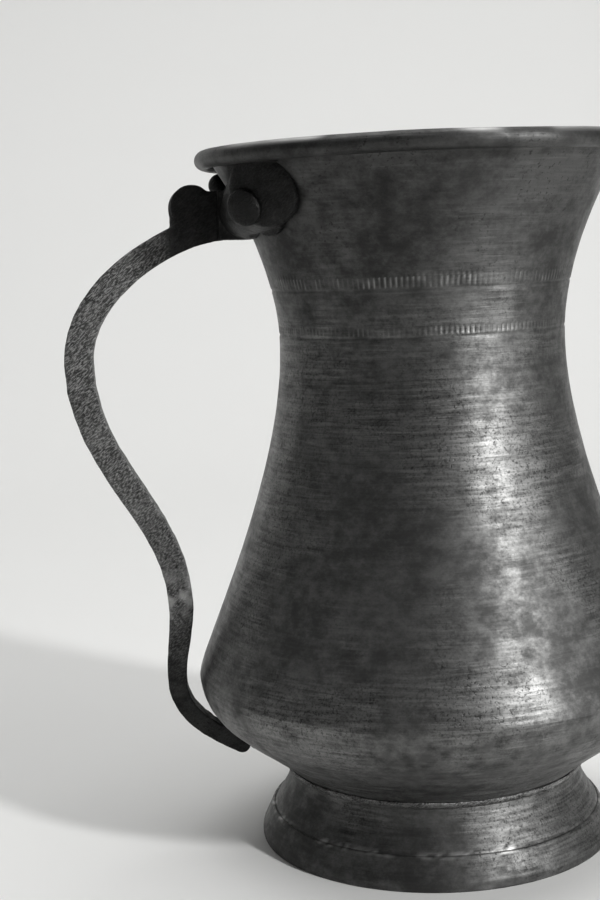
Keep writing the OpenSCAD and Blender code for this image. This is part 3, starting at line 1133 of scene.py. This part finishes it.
def aged_metal(name, dark, light, worn, roughness, lathe, cut=0.2, dark_patina_shadow_amount=0.6, low_part=0.0):
    """Aged metal: soft patina, fine tool marks darker in their hollows, dark pits, bright worn spots with a
    painted highlight on the handle's strap, and dark patina with painted shadow of the rim near the top.

    dark, light and worn are greys. cut is how bright the tool marks are, the darkening amount how dark
    patina, with painted shadow of the rim on the handle's top, saddle and rivets, makes the metal near the
    mouth, and low_part the share of that which it has low down.
    """
    material, tree, shader, place = blank(name)
    patches = grain(tree, place, PATCHES, EVEN, 5, 0.55)
    marks = tool_marks(tree, place, lathe)
    tone = tone_of(tree, place, patches)
    # Dark patina near the mouth; on the handle's top, saddle and rivets also painted shadow of the rim
    patina_and_painted_shadow = times(tree, patina_shadow_mask(tree, place, low_part), dark_patina_shadow_amount)
    clear = clear_of(tree, patches, patina_and_painted_shadow)
    pitted = pits(tree, place, patches)
    bright = add(tree, "ShaderNodeAttribute", attribute_name="worn").outputs["Fac"]
    colour = blend(tree, span(tree, tone, 0.38, 0.62), grey(dark), grey(light))
    # Darkest grey laid on as dark patina and, on the handle's top, saddle and rivets, as painted shadow
    colour = blend(tree, patina_and_painted_shadow, colour, grey(dark * DARKEST_SHARE))
    colour = blend(tree, scored(tree, marks, clear, patina_and_painted_shadow, lathe, cut), colour, grey(worn))
    # Darker in the hollows of the tool marks and in grit specks
    colour = blend(tree, darkened_in_marks(tree, place, marks, clear), colour, grey(dark * DARKEST_SHARE))
    colour = blend(tree, times(tree, pitted, 0.75), colour, grey(dark * PIT_SHARE))
    # Brighter where the worn attribute says: real wear, and on the handle's strap a painted highlight
    colour = blend(tree, bright, colour, grey(worn))
    rough = span(tree, tone, 0.36, 0.64, roughness + 0.08, roughness - 0.08)
    feed(tree, shader.inputs["Base Color"], colour)
    feed(tree, shader.inputs["Metallic"], 1.0)
    feed(tree, shader.inputs["Roughness"], minus(tree, rough, times(tree, bright, 0.15)))
    feed(tree, shader.inputs["Normal"], relief(tree, marks, patches, pitted, lathe))
    if lathe:
        drawn_upright(tree, shader)
    return material


def wall_metal():
    """Turned pewter of the upper wall."""
    return aged_metal("pewter_wall", dark=0.07, light=0.18, worn=0.45, roughness=0.54, lathe=True)


def bowl_metal():
    """Hammered pewter of the bowl."""
    return aged_metal("pewter_bowl", dark=0.055, light=0.17, worn=0.45, roughness=0.52, lathe=True)


def foot_metal():
    """Duller pewter of the foot."""
    return aged_metal("pewter_foot", dark=0.07, light=0.16, worn=0.45, roughness=0.6, lathe=True)


def forged_metal():
    """Filed metal of the handle and saddle, blackened near the top by dark patina and painted shadow of the
    rim, and darker low down.
    """
    looks = {"dark": 0.05, "light": 0.14, "worn": 0.5, "roughness": 0.6, "lathe": False}
    return aged_metal("forged_bar", cut=0.6, dark_patina_shadow_amount=0.9, low_part=0.7, **looks)


def rivet_metal():
    """Metal of the rivets, made dark by dark patina and painted shadow of the rim."""
    looks = {"dark": 0.05, "light": 0.12, "worn": 0.5, "roughness": 0.5, "lathe": False}
    return aged_metal("rivet", cut=0.1, dark_patina_shadow_amount=0.85, **looks)


def solder_metal():
    """Solder, bright in spots."""
    looks = {"dark": 0.04, "light": 0.2, "worn": 0.5, "roughness": 0.55, "lathe": False}
    return aged_metal("solder", cut=0.25, dark_patina_shadow_amount=0.6, **looks)


def paper():
    """Pale studio paper, with painted shade in front."""
    material, tree, shader, place = blank("paper")
    pale = blend(tree, grain(tree, place, 5), grey(0.78), grey(0.8))
    depth = add(tree, "ShaderNodeSeparateXYZ", Vector=place).outputs["Y"]
    # Painted shade on the paper in front of the vessel
    feed(tree, shader.inputs["Base Color"], blend(tree, span(tree, depth, *PAPER_SHADED), grey(0.16), pale))
    feed(tree, shader.inputs["Roughness"], 0.9)
    feed(tree, shader.inputs["Specular IOR Level"], 0.1)
    return material


# Studio


def backdrop():
    """Pale paper that lies flat under the tankard and curves up far behind it."""
    curve = [(PAPER_FRONT, 0.0), (PAPER_BACK, 0.0)]
    for a in np.linspace(0, TAU / 4, BEND_ROWS)[1:]:
        curve.append((PAPER_BACK + PAPER_BEND * math.sin(a), PAPER_BEND - PAPER_BEND * math.cos(a)))
    curve.append((PAPER_BACK + PAPER_BEND, PAPER_TOP))
    points = [(x, y, z) for y, z in curve for x in (-PAPER_HALF, PAPER_HALF)]
    faces = [[2 * i, 2 * i + 1, 2 * i + 3, 2 * i + 2] for i in range(len(curve) - 1)]
    mesh = bpy.data.meshes.new("backdrop")
    mesh.from_pydata(points, [], faces)
    mesh.shade_smooth()
    made = bpy.data.objects.new("backdrop", mesh)
    bpy.context.scene.collection.objects.link(made)
    mesh.materials.append(paper())


def lamp(name, place, aim, size, power):
    """A soft round light."""
    light = bpy.data.lights.new(name, "AREA")
    light.shape = "DISK"
    light.size = size
    light.energy = power
    made = bpy.data.objects.new(name, light)
    bpy.context.scene.collection.objects.link(made)
    made.location = place
    made.rotation_mode = "QUATERNION"
    made.rotation_quaternion = (Vector(aim) - Vector(place)).to_track_quat("-Z", "Y")


def lights():
    """Soft key from the right and in front, a weak fill beside it, a wide light overhead, and a dim room."""
    lamp("key", (0.715, -0.808, 0.526), AIM, size=0.1, power=11)
    lamp("fill", (0.85, -0.5, 0.25), AIM, size=0.7, power=2.5)
    lamp("overhead", (0.0, 0.45, 1.7), (0, 0.45, 0), size=1.8, power=20)
    world = bpy.data.worlds.new("room")
    world.use_nodes = True
    world.node_tree.nodes["Background"].inputs["Color"].default_value = (ROOM, ROOM, ROOM, 1)
    world.node_tree.nodes["Background"].inputs["Strength"].default_value = 1.0
    bpy.context.scene.world = world
    bpy.context.scene.view_settings.view_transform = "Standard"


def camera():
    """Low view from in front, a little to the handle's side, close enough to cut the vessel's right edge."""
    turn, dip, roll = CAMERA_LOOK
    ahead = Vector((math.sin(turn) * math.cos(dip), math.cos(turn) * math.cos(dip), -math.sin(dip)))
    right = Vector((math.cos(turn), -math.sin(turn), 0))
    up = right.cross(ahead)
    side = right * math.cos(roll) + up * math.sin(roll)
    top = up * math.cos(roll) - right * math.sin(roll)
    data = bpy.data.cameras.new("camera")
    data.sensor_fit = "VERTICAL"
    data.sensor_height = SENSOR
    data.lens = CAMERA_LENS
    data.clip_start = 0.01
    made = bpy.data.objects.new("camera", data)
    bpy.context.scene.collection.objects.link(made)
    turned_to = Matrix((side, top, -ahead)).transposed().to_4x4()
    made.matrix_world = Matrix.Translation(CAMERA_AT) @ turned_to
    bpy.context.scene.camera = made


# Putting it together


def finish_with(made, material):
    """Gives a piece its material."""
    made.data.materials.clear()
    made.data.materials.append(material)


def dress():
    """Builds every piece and gives it its finish."""
    wall = wall_metal()
    hammered_bowl = bowl_metal()
    foot = foot_metal()
    forged = forged_metal()
    dark = rivet_metal()
    solder = solder_metal()
    finish_with(upper_wall(), wall)
    finish_with(bowl(), hammered_bowl)
    finish_with(foot_ring(), foot)
    finish_with(foot_hoop(), foot)
    finish_with(foot_solder(), solder)
    finish_with(handle(), forged)
    finish_with(saddle(), forged)
    finish_with(rivets(), dark)
    finish_with(tip_solder(), solder)
    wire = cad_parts["rim_wire"]
    wire.data.materials.clear()
    wire.data.materials.append(dark)


dress()
backdrop()
lights()
camera()
